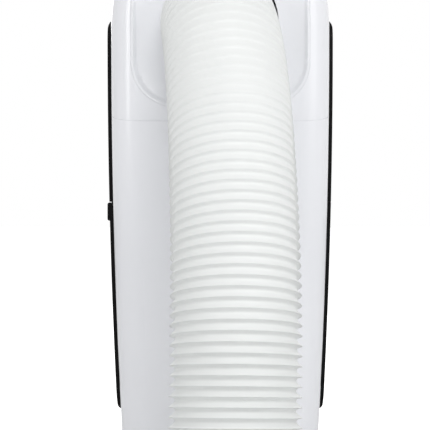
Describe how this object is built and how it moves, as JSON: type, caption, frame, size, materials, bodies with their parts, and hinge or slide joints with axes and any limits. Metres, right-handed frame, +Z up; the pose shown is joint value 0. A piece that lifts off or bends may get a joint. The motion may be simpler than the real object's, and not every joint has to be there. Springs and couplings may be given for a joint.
{
  "type": "portable air conditioner",
  "caption": "Upright portable air conditioner on swivel castors with black side grilles, a louvred front outlet and a ribbed exhaust hose hanging from a recess in the back.",
  "frame": {"origin": "centre of the machine's footprint on the floor", "axes": "+Z up, front towards -Y, the side with the filter door towards +X, hose behind at +Y"},
  "size_m": [0.2968, 0.625, 0.7262],
  "materials": {
    "casing_white": "glossy white moulded ABS",
    "gloss_black": "glossy black moulded ABS",
    "base_grey": "fine-textured dark grey moulded plastic",
    "filter_grey": "woven nylon mesh in a thin plastic frame",
    "display_black": "smoked polished acrylic",
    "button_grey": "satin grey plastic",
    "circuit_green": "green solder mask",
    "inner_plastic": "plain grey polypropylene",
    "fan_black": "black glass-filled plastic",
    "motor_metal": "zinc-plated steel can",
    "coil_aluminium": "bare aluminium fins",
    "compressor_black": "black stove enamel",
    "pipe_copper": "bare drawn copper",
    "sheet_steel": "galvanised sheet steel",
    "hose_white": "thin white polypropylene bellows",
    "seal_black": "black rubber",
    "castor_black": "black nylon",
    "castor_tread": "black nylon wheel"
  },
  "bodies": {
    "casing": {"front_panel": "casing_white", "rear_lower_cover": "casing_white", "rear_upper_cover": "casing_white", "recess_tub": "casing_white", "top_cover": "casing_white", "vent_frame": "casing_white", "side_grille_upper_left": "gloss_black", "side_grille_upper_right": "gloss_black", "side_grille_lower_right": "gloss_black", "grip_cup_left": "gloss_black", "grip_cup_right": "gloss_black", "control_panel": "gloss_black", "upper_filter_left": "filter_grey", "filter_right": "filter_grey", "base_tray": "base_grey", "display_window": "display_black", "control_board": "circuit_green", "louvre_motor": "motor_metal", "exhaust_outlet": "inner_plastic", "outlet_seal": "seal_black", "hose_connector": "hose_white", "exhaust_hose": "hose_white", "hose_end_connector": "hose_white", "cord_gland": "casing_white", "drain_pan": "inner_plastic", "cold_blower_housing": "inner_plastic", "hot_blower_housing": "inner_plastic", "exhaust_duct": "inner_plastic", "cold_blower_motor": "motor_metal", "hot_blower_motor": "motor_metal", "condenser_coil": "coil_aluminium", "evaporator_coil": "coil_aluminium", "compressor": "compressor_black", "compressor_feet": "seal_black", "discharge_pipe": "pipe_copper", "suction_pipe": "pipe_copper", "capillary_tube": "pipe_copper", "electrical_box": "sheet_steel"},
    "filter_door": {"filter_door": "gloss_black", "door_filter": "filter_grey"},
    "louvre_lower": {"louvre_blade_lower": "casing_white"},
    "louvre_middle": {"louvre_blade_middle": "casing_white"},
    "louvre_upper": {"louvre_blade_upper": "casing_white"},
    "louvre_link": {"louvre_link": "inner_plastic"},
    "cold_wheel": {"cold_blower_wheel": "fan_black"},
    "hot_wheel": {"hot_blower_wheel": "fan_black"},
    "drain_plug": {"drain_plug": "seal_black"},
    "button_power": {"button_power": "button_grey"},
    "button_mode": {"button_mode": "button_grey"},
    "button_fan": {"button_fan": "button_grey"},
    "button_down": {"button_down": "button_grey"},
    "button_up": {"button_up": "button_grey"},
    "castor_front_left": {"castor_fork_front_left": "castor_black"},
    "wheel_front_left": {"castor_wheel_front_left": "castor_tread"},
    "castor_front_right": {"castor_fork_front_right": "castor_black"},
    "wheel_front_right": {"castor_wheel_front_right": "castor_tread"},
    "castor_rear_left": {"castor_fork_rear_left": "castor_black"},
    "wheel_rear_left": {"castor_wheel_rear_left": "castor_tread"},
    "castor_rear_right": {"castor_fork_rear_right": "castor_black"},
    "wheel_rear_right": {"castor_wheel_rear_right": "castor_tread"}
  },
  "joints": [
    {"name": "filter_door_tilt", "type": "hinge", "parent": "casing", "child": "filter_door", "pos_m": [0.12865, 0, 0.093], "axis": [0, 1, 0], "range_deg": [0, 35]},
    {"name": "louvre_lower_turn", "type": "hinge", "parent": "casing", "child": "louvre_lower", "pos_m": [0, -0.14515, 0.62093], "axis": [1, 0, 0], "range_deg": [0, 75]},
    {"name": "louvre_middle_turn", "type": "hinge", "parent": "casing", "child": "louvre_middle", "pos_m": [0, -0.1395, 0.645], "axis": [1, 0, 0], "range_deg": [0, 75]},
    {"name": "louvre_upper_turn", "type": "hinge", "parent": "casing", "child": "louvre_upper", "pos_m": [0, -0.13184, 0.66907], "axis": [1, 0, 0], "range_deg": [0, 75]},
    {"name": "louvre_link_turn", "type": "hinge", "parent": "louvre_middle", "child": "louvre_link", "pos_m": [-0.0781, -0.13436, 0.63887], "axis": [1, 0, 0], "range_deg": [-75, 0]},
    {"name": "button_power_press", "type": "slide", "parent": "casing", "child": "button_power", "axis": [0, 0, -1], "range_m": [0, 0.0008], "stiffness_N_per_m": 600, "springref_m": -0.0003},
    {"name": "button_mode_press", "type": "slide", "parent": "casing", "child": "button_mode", "axis": [0, 0, -1], "range_m": [0, 0.0008], "stiffness_N_per_m": 600, "springref_m": -0.0003},
    {"name": "button_fan_press", "type": "slide", "parent": "casing", "child": "button_fan", "axis": [0, 0, -1], "range_m": [0, 0.0008], "stiffness_N_per_m": 600, "springref_m": -0.0003},
    {"name": "button_down_press", "type": "slide", "parent": "casing", "child": "button_down", "axis": [0, 0, -1], "range_m": [0, 0.0008], "stiffness_N_per_m": 600, "springref_m": -0.0003},
    {"name": "button_up_press", "type": "slide", "parent": "casing", "child": "button_up", "axis": [0, 0, -1], "range_m": [0, 0.0008], "stiffness_N_per_m": 600, "springref_m": -0.0003},
    {"name": "cold_wheel_spin", "type": "hinge", "parent": "casing", "child": "cold_wheel", "pos_m": [0, -0.04, 0.475], "axis": [1, 0, 0], "continuous": true},
    {"name": "hot_wheel_spin", "type": "hinge", "parent": "casing", "child": "hot_wheel", "pos_m": [0.043, 0.002, 0.205], "axis": [1, 0, 0], "continuous": true},
    {"name": "drain_plug_pull", "type": "slide", "parent": "casing", "child": "drain_plug", "axis": [0, 1, 0], "range_m": [0, 0.03]},
    {"name": "castor_front_left_swivel", "type": "hinge", "parent": "casing", "child": "castor_front_left", "pos_m": [0.096, -0.122, 0.048], "axis": [0, 0, 1], "continuous": true},
    {"name": "wheel_front_left_spin", "type": "hinge", "parent": "castor_front_left", "child": "wheel_front_left", "pos_m": [0.096, -0.11, 0.018], "axis": [1, 0, 0], "continuous": true},
    {"name": "castor_front_right_swivel", "type": "hinge", "parent": "casing", "child": "castor_front_right", "pos_m": [-0.096, -0.122, 0.048], "axis": [0, 0, 1], "continuous": true},
    {"name": "wheel_front_right_spin", "type": "hinge", "parent": "castor_front_right", "child": "wheel_front_right", "pos_m": [-0.096, -0.11, 0.018], "axis": [1, 0, 0], "continuous": true},
    {"name": "castor_rear_left_swivel", "type": "hinge", "parent": "casing", "child": "castor_rear_left", "pos_m": [0.096, 0.122, 0.048], "axis": [0, 0, 1], "continuous": true},
    {"name": "wheel_rear_left_spin", "type": "hinge", "parent": "castor_rear_left", "child": "wheel_rear_left", "pos_m": [0.096, 0.134, 0.018], "axis": [1, 0, 0], "continuous": true},
    {"name": "castor_rear_right_swivel", "type": "hinge", "parent": "casing", "child": "castor_rear_right", "pos_m": [-0.096, 0.122, 0.048], "axis": [0, 0, 1], "continuous": true},
    {"name": "wheel_rear_right_spin", "type": "hinge", "parent": "castor_rear_right", "child": "wheel_rear_right", "pos_m": [-0.096, 0.134, 0.018], "axis": [1, 0, 0], "continuous": true}
  ],
  "couplings": [
    {"joint": "louvre_lower_turn", "follows": "louvre_middle_turn", "ratio": 1},
    {"joint": "louvre_upper_turn", "follows": "louvre_middle_turn", "ratio": 1},
    {"joint": "louvre_link_turn", "follows": "louvre_middle_turn", "ratio": -1}
  ]
}
